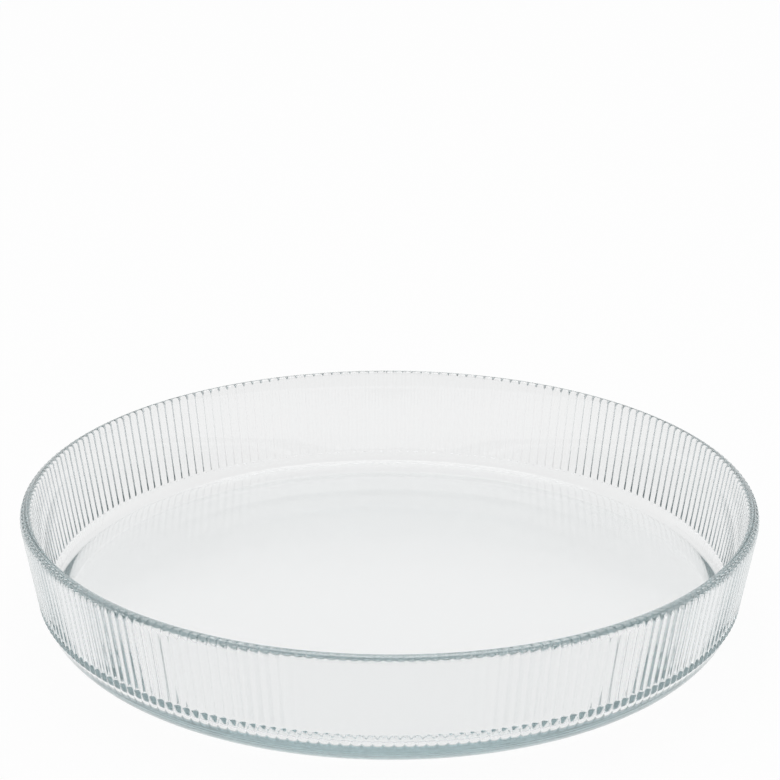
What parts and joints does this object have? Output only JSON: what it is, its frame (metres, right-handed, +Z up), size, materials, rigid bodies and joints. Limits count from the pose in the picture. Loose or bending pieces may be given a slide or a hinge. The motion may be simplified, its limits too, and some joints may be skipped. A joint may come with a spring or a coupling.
{
  "type": "baking dish",
  "caption": "Round shallow baking dish of clear pressed glass, with fine upright reeds outside a leaning wall, a plain rounded rim, a smooth inside and a flat bearing ring to stand on.",
  "frame": {"origin": "centre of the bearing ring, on the surface that the dish stands on", "axes": "+Z up along the dish's axis, towards the open mouth; X and Y lie in the table plane"},
  "size_m": [0.3, 0.3, 0.0505],
  "materials": {
    "pressed_glass": "clear, fire-polished, faint green-blue edge tint"
  },
  "bodies": {
    "root": {"glass_dish": "pressed_glass"}
  },
  "joints": []
}
